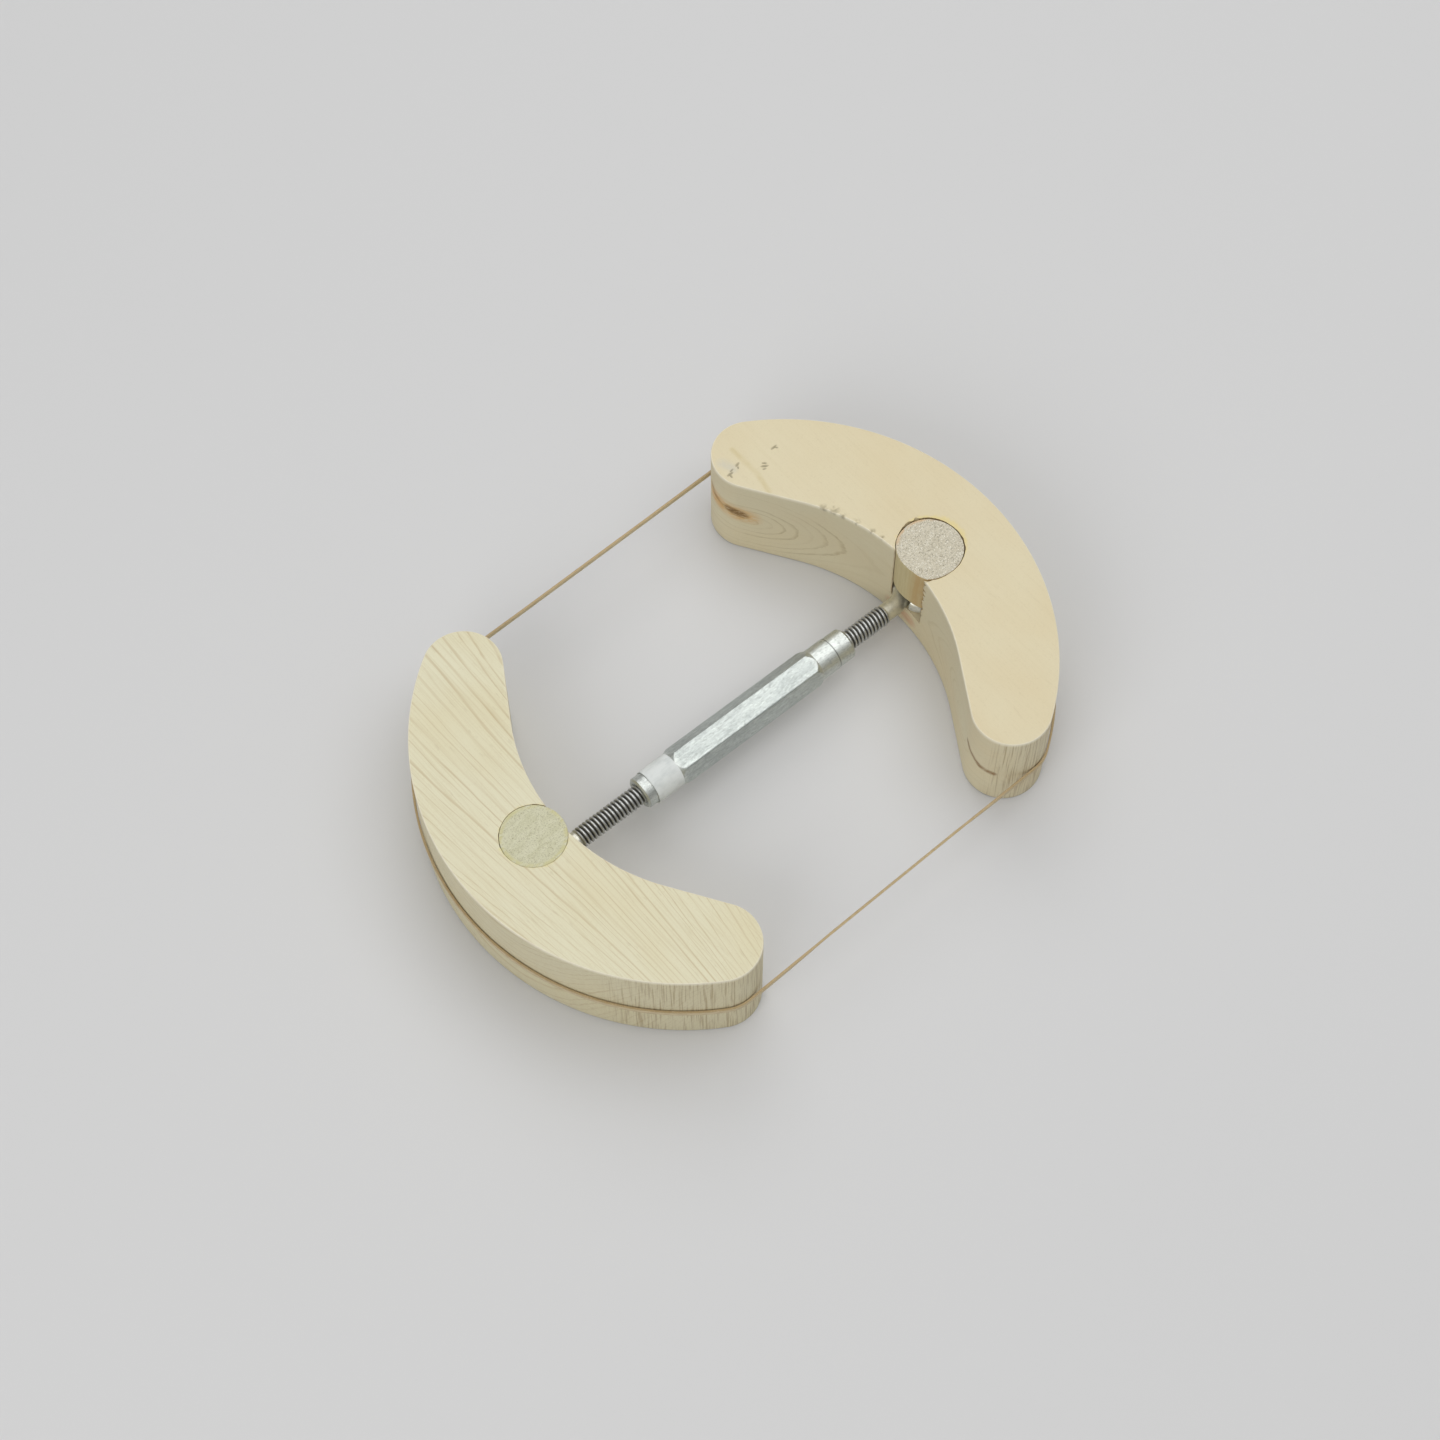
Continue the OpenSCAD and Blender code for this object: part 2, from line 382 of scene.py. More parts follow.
def dowel(name, eye_x, tone):
    """End grain of a sanded dowel: pores and flecks on top, glue at its rim, fibres down its side."""
    f = Finish(name, Specular_IOR_Level=0.3)
    x, y, _ = f.split(f.place)
    topside = f.ramp(f.math("ABSOLUTE", f.split(f.normal)[2]), 0.4, 0.8)
    pores = f.noise(f.place, (3.0, 3.0, 0.1), 3.0, 0.75)
    light = f.noise(f.moved(f.place, (40.0, 9.0, 0.0)), (2.8, 3.6, 0.1), 3.0, 0.7)
    wisp = f.noise(f.place, (0.22, 0.7, 0.1), 3.0, 0.6, 0.8)
    fibre = f.noise(f.place, (1.9, 1.9, 0.045), 3.0, 0.6)
    rings = f.noise(f.place, (0.03, 0.03, 1.6), 3.0, 0.6)
    colour = f.mix(f.ramp(wisp, 0.32, 0.68), tone["top"], tone["cloud"])
    colour = f.mix(f.ramp(pores, 0.5, 0.68, 0.0, tone["pore_share"]), colour, tone["pore"])
    colour = f.mix(f.ramp(light, 0.54, 0.7, 0.0, tone["light_share"]), colour, tone["light"])
    from_eye = f.reach(f.less(x, eye_x), y)
    rim = f.ramp(from_eye, PLUG_RADIUS - 1.4, PLUG_RADIUS - 0.6, 0.0, 0.7)
    rim = f.times(rim, f.ramp(y, tone["rim_from"], tone["rim_from"] + 5.0))
    colour = f.mix(f.times(rim, f.ramp(wisp, 0.36, 0.56)), colour, tone["rim"])
    side = f.mix(f.ramp(fibre, 0.35, 0.7, 0.0, 0.45), tone["side"], tone["side_fibre"])
    side = f.mix(f.ramp(rings, 0.5, 0.75, 0.0, 0.6), side, tone["side_fibre"])
    stain = f.times(f.ramp(y, -5.5, -1.5, 1.0, 0.0), f.ramp(wisp, 0.3, 0.6, 0.4, 0.9))
    side = f.mix(f.times(stain, tone["stain_share"]), side, tone["stain"])
    colour = f.mix(topside, side, colour)
    height = f.mix(topside, fibre, f.times(pores, -1.0))
    return f.paint(colour, f.ramp(pores, 0.3, 0.7, 0.55, 0.72), height, distance=0.1, strength=0.7)


def zinc(name, thread_start):
    """Zinc-plated wire: a darker grey on the rolled thread, with painted shade in its roots and a painted
    highlight on its crests, and smooth dull plating on the bend.
    """
    f = Finish(name, Metallic=0.85)
    x, y, z = f.split(f.place)
    from_axis = f.reach(y, f.less(z, AXIS_Z))
    start = -EYE_X - thread_start
    on_thread = f.ramp(f.math("ABSOLUTE", x), start - 1.0, start, 1.0, 0.0)
    root_shade = f.times(f.ramp(from_axis, 2.4, 2.85, 1.0, 0.0), on_thread)
    crest_highlight = f.times(f.ramp(from_axis, 2.85, 3.05), on_thread)
    cloud = f.noise(f.place, (0.5, 0.5, 0.5), 3.0, 0.6)
    grit = f.noise(f.place, (4.0, 4.0, 4.0), 3.0, 0.6)
    colour = f.mix(f.ramp(cloud, 0.35, 0.7), srgb(224, 222, 208), srgb(204, 203, 190))
    colour = f.mix(f.ramp(grit, 0.5, 0.75, 0.0, 0.3), colour, srgb(178, 176, 164))
    colour = f.mix(f.times(on_thread, 0.8), colour, srgb(150, 151, 149))
    # Painted shade in the roots of the thread
    colour = f.mix(f.times(root_shade, 0.85), colour, srgb(84, 83, 80))
    # Painted highlight along the crests of the thread
    colour = f.mix(f.times(crest_highlight, 0.75), colour, srgb(190, 192, 191))
    roughness = f.math("ADD", f.ramp(grit, 0.3, 0.7, 0.3, 0.42), f.times(root_shade, 0.2))
    return f.paint(colour, roughness, grit, distance=0.02, strength=0.5)


def aluminium(name):
    """Drawn hexagon bar: fine lines along it, scuffs, and turned ends with rings of tool marks."""
    f = Finish(name, Metallic=1.0)
    x = f.split(f.place)[0]
    from_middle = f.math("ABSOLUTE", f.less(x, SLEEVE_MIDDLE))
    turned = f.ramp(from_middle, HEX_HALF, HEX_HALF + TAPER_LENGTH)
    drawn = f.noise(f.place, (0.03, 5.0, 5.0), 3.0, 0.6)
    rings = f.noise(f.place, (6.0, 0.05, 0.05), 2.0, 0.6)
    scuff = f.noise(f.place, (0.7, 3.4, 3.4), 5.0, 0.75, 1.2)
    cloud = f.noise(f.place, (0.12, 0.4, 0.4), 3.0, 0.6)
    worn = f.noise(f.moved(f.place, (7.0, 3.0, 5.0)), (0.25, 1.6, 1.6), 5.0, 0.8, 1.5)
    lines = f.mix(turned, drawn, rings)
    colour = f.mix(f.ramp(cloud, 0.35, 0.7), srgb(197, 203, 199), srgb(180, 186, 183))
    colour = f.mix(f.times(turned, 0.6), colour, srgb(224, 227, 222))
    colour = f.mix(f.ramp(worn, 0.52, 0.58, 0.0, 0.4), colour, srgb(226, 233, 226))
    colour = f.mix(f.ramp(scuff, 0.48, 0.62, 0.0, 0.6), colour, srgb(142, 147, 144))
    # Painted shade: a dark ring in the step onto the spigot
    to_step = f.math("ABSOLUTE", f.less(from_middle, SLEEVE_HALF - SPIGOT_LENGTH))
    colour = f.mix(f.ramp(to_step, 0.08, 0.3, 0.75, 0.0), colour, srgb(104, 106, 104))
    colour = f.mix(f.ramp(lines, 0.5, 0.8, 0.0, 0.3), colour, srgb(150, 152, 157))
    roughness = f.math("ADD", f.ramp(scuff, 0.35, 0.7, 0.33, 0.55), f.ramp(lines, 0.3, 0.7, -0.04, 0.06))
    height = f.scaled_sum(scuff, -0.6, lines)
    return f.paint(colour, roughness, height, distance=0.03, strength=0.8)


def rubber(name):
    """Tan natural rubber, darker towards its upper and lower edges, with a dusty bloom."""
    f = Finish(name, Specular_IOR_Level=0.35)
    z = f.split(f.place)[2]
    from_level = f.math("ABSOLUTE", f.less(z, BAND_LEVEL))
    dust = f.noise(f.place, (0.5, 0.5, 1.2), 3.0, 0.6)
    grain = f.noise(f.place, (3.0, 3.0, 3.0), 2.0, 0.6)
    colour = f.mix(f.ramp(dust, 0.35, 0.7), srgb(212, 196, 160), srgb(196, 178, 140))
    edge = f.ramp(from_level, BAND_HEIGHT * 0.32, BAND_HEIGHT * 0.5)
    colour = f.mix(f.times(edge, 0.7), colour, srgb(172, 146, 104))
    colour = f.mix(f.ramp(grain, 0.5, 0.75, 0.0, 0.35), colour, srgb(226, 212, 180))
    return f.paint(colour, f.ramp(grain, 0.3, 0.7, 0.5, 0.68), grain, distance=0.03, strength=0.6)


def paper(name):
    """Plain white paper with faint fibres and soft creases."""
    f = Finish(name, Specular_IOR_Level=0.25)
    fibre = f.noise(f.place, (1.6, 2.6, 2.6), 4.0, 0.65, 0.8)
    soil = f.noise(f.place, (0.22, 0.35, 0.35), 3.0, 0.6)
    colour = f.mix(f.ramp(soil, 0.4, 0.75), srgb(224, 228, 226), srgb(206, 211, 209))
    colour = f.mix(f.ramp(fibre, 0.5, 0.8, 0.0, 0.3), colour, srgb(208, 208, 208))
    return f.paint(colour, f.ramp(fibre, 0.3, 0.7, 0.6, 0.75), fibre, distance=0.05, strength=0.6)


def make_piece(name, points, faces, finish, sharp=38):
    """A closed mesh from points in millimetres, with its faces turned outwards."""
    mesh = bpy.data.meshes.new(name)
    mesh.from_pydata((np.asarray(points, float) * MM).tolist(), [], faces)
    return finish_piece(name, mesh, finish, sharp)


def finish_piece(name, mesh, finish, sharp=38):
    """An object from a mesh, with faces turned outwards, one finish, and edges sharp past an angle."""
    shell = bmesh.new()
    shell.from_mesh(mesh)
    bmesh.ops.remove_doubles(shell, verts=shell.verts, dist=1e-7)
    bmesh.ops.recalc_face_normals(shell, faces=shell.faces)
    shell.to_mesh(mesh)
    shell.free()
    mesh.name = name
    mesh.materials.clear()
    mesh.materials.append(finish)
    mesh.shade_smooth()
    mesh.set_sharp_from_angle(angle=math.radians(sharp))
    piece = bpy.data.objects.new(name, mesh)
    bpy.context.scene.collection.objects.link(piece)
    return piece


def baked(obj):
    """Plain mesh of an object with its modifiers applied; the object itself goes."""
    bpy.context.view_layer.update()
    graph = bpy.context.evaluated_depsgraph_get()
    mesh = bpy.data.meshes.new_from_object(obj.evaluated_get(graph))
    obj.modifiers.clear()
    bpy.data.objects.remove(obj)
    return mesh


def ring_faces(rings, around, close=False):
    """Quads between rings of points that follow each other, each ring closed on itself."""
    faces = []
    for i in range(rings if close else rings - 1):
        a, b = i * around, (i + 1) % rings * around
        for j in range(around):
            k = (j + 1) % around
            faces.append((a + j, a + k, b + k, b + j))
    return faces


def arc(centre, radius, start, stop, count=400):
    """Points along an arc, and the way from its centre to each."""
    angle = np.linspace(start, stop, count)
    way = np.stack([np.cos(angle), np.sin(angle)], 1)
    return np.asarray(centre, float) + radius * way, way


def evenly(points, normals, count):
    """Points and normals at even steps along a line."""
    step = np.linalg.norm(np.diff(points, axis=0), axis=1)
    along = np.concatenate([[0], np.cumsum(step)])
    keep = np.concatenate([[True], step > 1e-9])
    even = np.linspace(0, along[-1], count)
    spread = [np.interp(even, along[keep], c[keep]) for c in (*points.T, *normals.T)]
    normal = np.stack(spread[2:], 1)
    return np.stack(spread[:2], 1), normal / np.linalg.norm(normal, axis=1)[:, None]


def block_sides(count):
    """Outer and inner line of a block from one tip's end to the other's, with outward normals."""
    tip = (TIP_X, TIP_Y)
    outer = [arc((OUTER_RADIUS, 0), OUTER_RADIUS, math.pi, math.pi - OUTER_ANGLE),
             arc(tip, TIP_RADIUS, math.pi - OUTER_ANGLE, TIP_END)]
    hollow, inwards = arc((HOLLOW_X, 0), HOLLOW_RADIUS, math.pi, math.pi - FLANK_ANGLE)
    round_tip = arc(tip, TIP_RADIUS, -FLANK_ANGLE, TIP_END)
    steps = np.linspace(0, 1, 100)[:, None]
    flank = hollow[-1] + (round_tip[0][0] - hollow[-1]) * steps
    square = np.repeat([round_tip[1][0]], 100, axis=0)
    inner = [(hollow, -inwards), (flank, square), round_tip]
    mirror = np.array([1, -1])
    sides = []
    for runs in (outer, inner):
        points, normals = [np.vstack(part) for part in zip(*runs)]
        half = evenly(points, normals, count + 1)
        sides.append([np.vstack([line[:0:-1], line * mirror]) for line in half])
    return sides


def rough(point, size, seed):
    """Smooth noise from about -1 to 1 at a point in millimetres."""
    return noise.noise(Vector(point) / size + Vector((seed * 17.3, seed * 5.1, seed * 9.7)))


def lid(outer, inner, first, fresh, z, cells):
    """Points and faces of a flat lid between two lines, on a ring of points that is there already.

    The ring starts at the point numbered first, and new points are numbered from fresh.
    """
    rows = len(outer)
    share = np.linspace(0, 1, cells + 1)[1:-1, None]
    index = np.zeros((rows, cells + 1), int)
    points = []
    for i in range(rows):
        index[i] = first + i
        if 0 < i < rows - 1:
            index[i, 1:-1] = np.arange(fresh, fresh + cells - 1)
            index[i, -1] = first + 2 * (rows - 1) - i
            line = outer[i] + (inner[i] - outer[i]) * share
            points.append(np.column_stack([line, np.full(cells - 1, z)]))
            fresh += cells - 1
    faces = []
    for i in range(rows - 1):
        for j in range(cells):
            corners = (index[i, j], index[i, j + 1], index[i + 1, j + 1], index[i + 1, j])
            faces.append(tuple(dict.fromkeys(int(c) for c in corners)))
    return points, faces


def block_mesh(turn, steps=150, across=64, under=10, arris=0.35):
    """Crescent with rounded arrises and fine faces on top, not yet skewed."""
    (outer, outer_way), (inner, inner_way) = block_sides(steps)
    loop = np.vstack([outer, inner[-2:0:-1]])
    way = np.vstack([outer_way, inner_way[-2:0:-1]])
    count = len(loop)
    curve = [math.radians(a) for a in (90, 60, 30, 0)]
    levels = [(arris - arris * math.sin(c), arris - arris * math.cos(c)) for c in curve]
    walls = [(z, 0.0) for z in np.linspace(1.6, BLOCK_TOP - 1.6, 14)]
    levels = levels + walls + [(BLOCK_TOP - z, inset) for z, inset in reversed(levels)]
    points = [np.column_stack([loop - way * inset, np.full(count, z)]) for z, inset in levels]
    faces = ring_faces(len(levels), count)
    total = count * len(levels)
    edges = outer - outer_way * arris, inner - inner_way * arris
    for first, z, cells in ((0, 0.0, under), (total - count, BLOCK_TOP, across)):
        lid_points, lid_faces = lid(*edges, first, sum(map(len, points)), z, cells)
        points += lid_points
        faces += lid_faces
    points = np.vstack(points)
    points[:, 0] += NOSE_X
    points[:, :2] *= turn
    return points, faces


def by_angle(table, angle):
    """Value at an angle about an eye, from a table of degrees and values."""
    degrees = sorted(table)
    return np.interp(np.degrees(angle), degrees, [table[d] for d in degrees], period=360)


def socket_cutter(turn, seed, chip, gapes, worn):
    """Drilled socket with a torn wall, splintered lips at its mouth and a joint that gapes in places."""
    around, levels = 240, 70
    to_hollow = HOLLOW_X - SOCKET_INSET
    between = math.hypot(to_hollow, SOCKET_SHIFT)
    middle = math.atan2(-SOCKET_SHIFT, to_hollow)
    squares = between ** 2 + SOCKET_RADIUS ** 2 - HOLLOW_RADIUS ** 2
    mouth = math.acos(squares / (2 * between * SOCKET_RADIUS))
    points = []
    for z in np.linspace(SOCKET_FLOOR, BLOCK_TOP + 1, levels):
        near_top = max(0.0, 1 - max(0.0, BLOCK_TOP - z) / 1.5)
        for j in range(around):
            angle = 2 * math.pi * j / around
            off = (angle + math.pi) % (2 * math.pi) - math.pi
            spot = (math.cos(angle) * SOCKET_RADIUS, math.sin(angle) * SOCKET_RADIUS, z)
            depth = 0.12 * max(0.0, rough(spot, 1.7, seed) + 0.15)
            depth += by_angle(worn, angle if turn > 0 else angle + math.pi)
            for centre, span, width in gapes:
                gape = max(0.0, 1 - (abs(off - centre) / span) ** 2)
                depth += near_top * gape * width * max(0.0, 0.6 + 1.6 * rough(spot, 1.3, seed + 1))
            lip = max(0.0, 1 - abs(abs(off - middle) - mouth - 0.12) / 0.3)
            side = chip[0] if off > middle else chip[1]
            at_lip = (off, 0, z)
            splinter = 0.4 + 1.5 * rough(at_lip, 1.2, seed + 2) + 0.7 * rough(at_lip, 0.5, seed + 4)
            depth += side * lip * max(0.0, splinter)
            radius = SOCKET_RADIUS + depth
            points.append((SOCKET_X + radius * math.cos(angle), SOCKET_SHIFT + radius * math.sin(angle), z))
    faces = ring_faces(levels, around)
    faces.append(tuple(range(around - 1, -1, -1)))
    faces.append(tuple(range((levels - 1) * around, levels * around)))
    points = np.array(points)
    points[:, :2] *= turn
    return points, faces


def refine_top(mesh, spots, cuts=2):
    """Smaller faces on the top within a reach of each spot, and triangles for faces with many corners."""
    shell = bmesh.new()
    shell.from_mesh(mesh)

    def close(vertex):
        x, y, z = vertex.co / MM
        return z > BLOCK_TOP - 0.5 and any(math.hypot(x - s[0], y - s[1]) < s[2] for s in spots)

    inside = {v for v in shell.verts if close(v)}
    edges = [e for e in shell.edges if e.verts[0] in inside and e.verts[1] in inside]
    bmesh.ops.subdivide_edges(shell, edges=edges, cuts=cuts, use_grid_fill=True)
    bmesh.ops.dissolve_verts(shell, verts=[v for v in shell.verts if len(v.link_edges) == 2])
    many = [face for face in shell.faces if len(face.verts) > 4]
    bmesh.ops.triangulate(shell, faces=many, ngon_method="BEAUTY")
    shell.to_mesh(mesh)
    shell.free()


def press_dents(points, dents):
    """Scratches pressed into the top, and how far each point lies in one, from 0 to 1."""
    dented = np.zeros(len(points))
    on_top = points[:, 2] > BLOCK_TOP - 1.0
    for x, y, angle, length, width, depth in dents:
        dx, dy = points[:, 0] - x, points[:, 1] - y
        u = (dx * math.cos(angle) + dy * math.sin(angle)) / length
        v = (dy * math.cos(angle) - dx * math.sin(angle)) / width
        share = np.clip(1 - u * u - v * v, 0, 1) * on_top
        dented = np.maximum(dented, np.sqrt(share))
        points[:, 2] -= depth * share
    return dented


def tear_edge(points, tears, seed):
    """Torn spots along the edge of the top, and how far each point lies in one, from 0 to 0.9."""
    dented = np.zeros(len(points))
    for x, y, reach, depth in tears:
        gap = np.hypot(points[:, 0] - x, points[:, 1] - y)
        near = np.clip(1 - gap / reach, 0, 1) * (points[:, 2] > BLOCK_TOP - 1.5)
        inside = np.flatnonzero(near)
        near[inside] *= [max(0.0, 0.4 + 0.9 * rough(points[i], 0.8, seed)) for i in inside]
        dented = np.maximum(dented, np.clip(1.6 * near, 0, 0.9))
        points[:, 2] -= depth * near
    return dented


def make_block(name, turn, finish, seed, chip, gapes, worn, glue, dents=(), tears=()):
    """Block with its drilled socket and its wear, and attributes that its finish reads."""
    wood = make_piece(name, *block_mesh(turn), finish)
    cutter = make_piece(name + "_cutter", *socket_cutter(turn, seed, chip, gapes, worn), finish)
    cut = wood.modifiers.new("socket", "BOOLEAN")
    cut.operation = "DIFFERENCE"
    cut.solver = "EXACT"
    cut.object = cutter
    mesh = baked(wood)
    bpy.data.objects.remove(cutter)
    spots = [(x, y, length + 0.9) for x, y, _, length, _, _ in dents]
    spots += [(x, y, reach + 0.6) for x, y, reach, _ in tears]
    refine_top(mesh, spots)
    points = np.zeros(len(mesh.vertices) * 3)
    mesh.vertices.foreach_get("co", points)
    points = points.reshape(-1, 3) / MM
    rim = (points[:, 2] > BLOCK_TOP - 0.4) & (points[:, 2] < BLOCK_TOP - 0.005)
    dented = press_dents(points, dents)
    dented = np.maximum(dented, tear_edge(points, tears, seed + 3))
    from_eye = points[:, :2] - np.array([SOCKET_X, SOCKET_SHIFT]) * turn
    angle = np.arctan2(from_eye[:, 1], from_eye[:, 0])
    from_joint = np.hypot(from_eye[:, 0], from_eye[:, 1]) - SOCKET_RADIUS - by_angle(worn, angle)
    attributes = {
        # Where painted shade goes in dents and torn spots
        "dent_shade": dented,
        # Where the painted highlight goes along the arrises
        "arris": rim * (1 - dented) * (from_joint > 0.8),
        # Torn socket wall, where painted shade goes in the joint's gap
        "torn_and_gap_shade": np.clip(1 - from_joint / 0.5, 0, 1) * (points[:, 2] > SOCKET_FLOOR - 0.1),
        "glue": np.where(points[:, 2] > BLOCK_TOP - 2, by_angle(glue, angle) - from_joint, -9)}
    for label, values in attributes.items():
        layer = mesh.attributes.new(label, "FLOAT", "POINT")
        layer.data.foreach_set("value", values.astype(np.float32))
    mesh.vertices.foreach_set("co", (skewed(points) * MM).ravel())
    return finish_piece(name, mesh, finish)


def turned_mesh(profile, around):
    """Solid of revolution about Z from (radius, height) pairs that start and end on the axis."""
    rings = profile[1:-1]
    points = [(r * math.cos(2 * math.pi * j / around), r * math.sin(2 * math.pi * j / around), z)
              for r, z in rings for j in range(around)]
    faces = ring_faces(len(rings), around)
    last = (len(rings) - 1) * around
    points += [(0, 0, profile[0][1]), (0, 0, profile[-1][1])]
    faces += [(len(points) - 2, (j + 1) % around, j) for j in range(around)]
    faces += [(len(points) - 1, last + j, last + (j + 1) % around) for j in range(around)]
    return np.array(points), faces


def make_plug(name, eye_x, finish, worn):
    """Dowel plug with a bevelled rim, drawn out of round where it is worn."""
    bevel = 0.22
    profile = [(0, PLUG_BOTTOM)] + [(r, PLUG_BOTTOM) for r in (2.5, 5, 7.5, PLUG_RADIUS - bevel)]
    profile += [(PLUG_RADIUS, PLUG_BOTTOM + bevel)]
    profile += [(PLUG_RADIUS, z) for z in np.linspace(PLUG_BOTTOM + 2, BLOCK_TOP - 2, 8)]
    profile += [(PLUG_RADIUS - bevel * (1 - math.cos(a)), BLOCK_TOP - bevel * (1 - math.sin(a)))
                for a in (0, math.pi / 6, math.pi / 3, math.pi / 2)]
    profile += [(r, BLOCK_TOP) for r in (8, 6, 4, 2)] + [(0, BLOCK_TOP)]
    points, faces = turned_mesh(profile, 128)
    reach = np.hypot(points[:, 0], points[:, 1])
    true_radius = 6
    rimward = np.clip((reach - true_radius) / (PLUG_RADIUS - true_radius), 0, 1)
    grow = by_angle(worn, np.arctan2(points[:, 1], points[:, 0])) * rimward
    points[:, :2] *= (1 + grow / np.maximum(reach, 1))[:, None]
    points[:, 0] += eye_x
    return make_piece(name, points, faces, finish)


def bent_wire(thread_start, around):
    """Wire from its cut end round the eye and through the neck to the start of the thread."""
    eye, eye_way = arc((0, 0), EYE_RADIUS, EYE_GAP, 2 * math.pi - NECK_ANGLE, 110)
    neck, neck_way = arc((NECK_X, -NECK_RADIUS), NECK_RADIUS, math.pi - NECK_ANGLE, math.pi / 2, 20)
    shank = np.array([(x, 0) for x in np.linspace(NECK_X, thread_start, 12)])
    line = np.vstack([eye, neck[1:], shank[1:]])
    side = np.vstack([eye_way, -neck_way[1:], np.repeat([[0, -1]], len(shank) - 1, axis=0)])
    radii = np.full(len(line), WIRE_RADIUS)
    chamfer = 0.3
    ahead = np.array([math.sin(EYE_GAP), -math.cos(EYE_GAP)])
    line = np.vstack([[line[0]], [line[0] - ahead * chamfer], line[1:]])
    side = np.vstack([[side[0]], side])
    radii = np.concatenate([[WIRE_RADIUS - chamfer], radii])
    turns = np.linspace(0, 2 * math.pi, around, endpoint=False)
    points = [(*(p + s * r * math.cos(t)), r * math.sin(t))
              for p, s, r in zip(line, side, radii) for t in turns]
    faces = ring_faces(len(line), around)
    points.append((*line[0], 0))
    faces += [(len(points) - 1, j, (j + 1) % around) for j in range(around)]
    return np.array(points), faces


def geometry_tree(name, inputs):
    """Empty geometry tree with named inputs, and the sockets to read them from."""
    tree = bpy.data.node_groups.new(name, "GeometryNodeTree")
    tree.interface.new_socket("Geometry", in_out="INPUT", socket_type="NodeSocketGeometry")
    kinds = {float: "NodeSocketFloat", int: "NodeSocketInt", "material": "NodeSocketMaterial"}
    for label, kind in inputs.items():
        tree.interface.new_socket(label, in_out="INPUT", socket_type=kinds[kind])
    tree.interface.new_socket("Geometry", in_out="OUTPUT", socket_type="NodeSocketGeometry")
    graph = Graph(tree)
    return graph, graph.add("NodeGroupInput").outputs


def end_tree(graph, shape, material):
    """Realised instances in one material, as every tree here ends."""
    shape = graph.add("GeometryNodeRealizeInstances", {"Geometry": shape}).outputs[0]
    shape = graph.add("GeometryNodeSetMaterial", {"Geometry": shape, "Material": material}).outputs[0]
    graph.add("NodeGroupOutput", {"Geometry": shape})
    return graph.tree


def thread_tree():
    """Rolled thread along X as a grid wrapped round the axis, with a run-out and a chamfered tip."""
    graph, g = geometry_tree("rolled_thread", {
        "Start": float, "Length": float, "Pitch": float, "Crest": float, "Root": float, "Wire": float,
        "Hand": float, "Rings": int, "Around": int, "Finish": "material"})
    grid = graph.add("GeometryNodeMeshGrid", {"Size X": 1.0, "Size Y": 1.0,
                                              "Vertices X": g["Rings"], "Vertices Y": g["Around"]})
    u, v, _ = graph.split(graph.add("GeometryNodeInputPosition").outputs[0])
    share = graph.math("ADD", u, 0.5)
    turn = graph.math("ADD", v, 0.5)
    run = graph.times(share, g["Length"])
    pitches = graph.math("DIVIDE", run, g["Pitch"])
    phase = graph.less(pitches, graph.times(turn, g["Hand"]))
    saw = graph.math("PINGPONG", phase, 0.5)
    flank = graph.ramp(saw, 0.04, 0.34)
    radius = graph.ramp(flank, 0.0, 1.0, g["Root"], g["Crest"], smooth=False)
    start_share = graph.ramp(pitches, 0.0, 1.0)
    radius = graph.ramp(start_share, 0.0, 1.0, g["Wire"], radius, smooth=False)
    to_tip = graph.less(g["Length"], run)
    slope = graph.scaled_sum(to_tip, 0.6, graph.times(g["Root"], 0.95))
    radius = graph.math("MINIMUM", radius, slope)
    angle = graph.times(turn, 2 * math.pi)
    along = graph.math("ADD", g["Start"], run)
    place = graph.join(along, graph.times(radius, graph.math("COSINE", angle)),
                       graph.times(radius, graph.math("SINE", angle)))
    wrapped = graph.add("GeometryNodeSetPosition", {"Geometry": grid.outputs["Mesh"], "Position": place})
    closed = graph.add("GeometryNodeMergeByDistance", {"Geometry": wrapped.outputs[0], "Distance": 1e-6})
    return end_tree(graph, closed.outputs[0], g["Finish"])


def grown(tree, name, values, mesh=None):
    """Plain mesh that a geometry tree gives from its named values."""
    holder = bpy.data.objects.new(name, mesh or bpy.data.meshes.new(name))
    bpy.context.scene.collection.objects.link(holder)
    modifier = holder.modifiers.new(name, "NODES")
    modifier.node_group = tree
    for item in tree.interface.items_tree:
        if item.in_out == "INPUT" and item.name in values:
            modifier[item.identifier] = values[item.name]
    return baked(holder)


def make_bolt(name, turn, hand, thread_start, finish, tree, around=32):
    """Bent wire and rolled thread, joined into one closed eye bolt."""
    points, faces = bent_wire(thread_start, around)
    wire = bpy.data.meshes.new(name + "_wire")
    wire.from_pydata((points * MM).tolist(), [], faces)
    length = BOLT_END - thread_start
    per_pitch = 14
    rings = int(round(length / THREAD_PITCH * per_pitch)) + 1
    thread = grown(tree, name + "_thread", {
        "Start": thread_start * MM, "Length": length * MM, "Pitch": THREAD_PITCH * MM,
        "Crest": THREAD_RADIUS * MM, "Root": THREAD_ROOT * MM, "Wire": WIRE_RADIUS * MM,
        "Hand": hand, "Rings": rings, "Around": around + 1, "Finish": finish})
    shell = bmesh.new()
    shell.from_mesh(wire)
    shell.from_mesh(thread)
    bmesh.ops.remove_doubles(shell, verts=shell.verts, dist=2e-6)
    open_edges = [e for e in shell.edges if e.is_boundary]
    bmesh.ops.holes_fill(shell, edges=open_edges, sides=around + 4)
    for vertex in shell.verts:
        vertex.co.x = (vertex.co.x + EYE_X * MM) * turn
        vertex.co.y *= turn
        vertex.co.z += AXIS_Z * MM
    mesh = bpy.data.meshes.new(name)
    shell.to_mesh(mesh)
    shell.free()
    return finish_piece(name, mesh, finish, sharp=50)


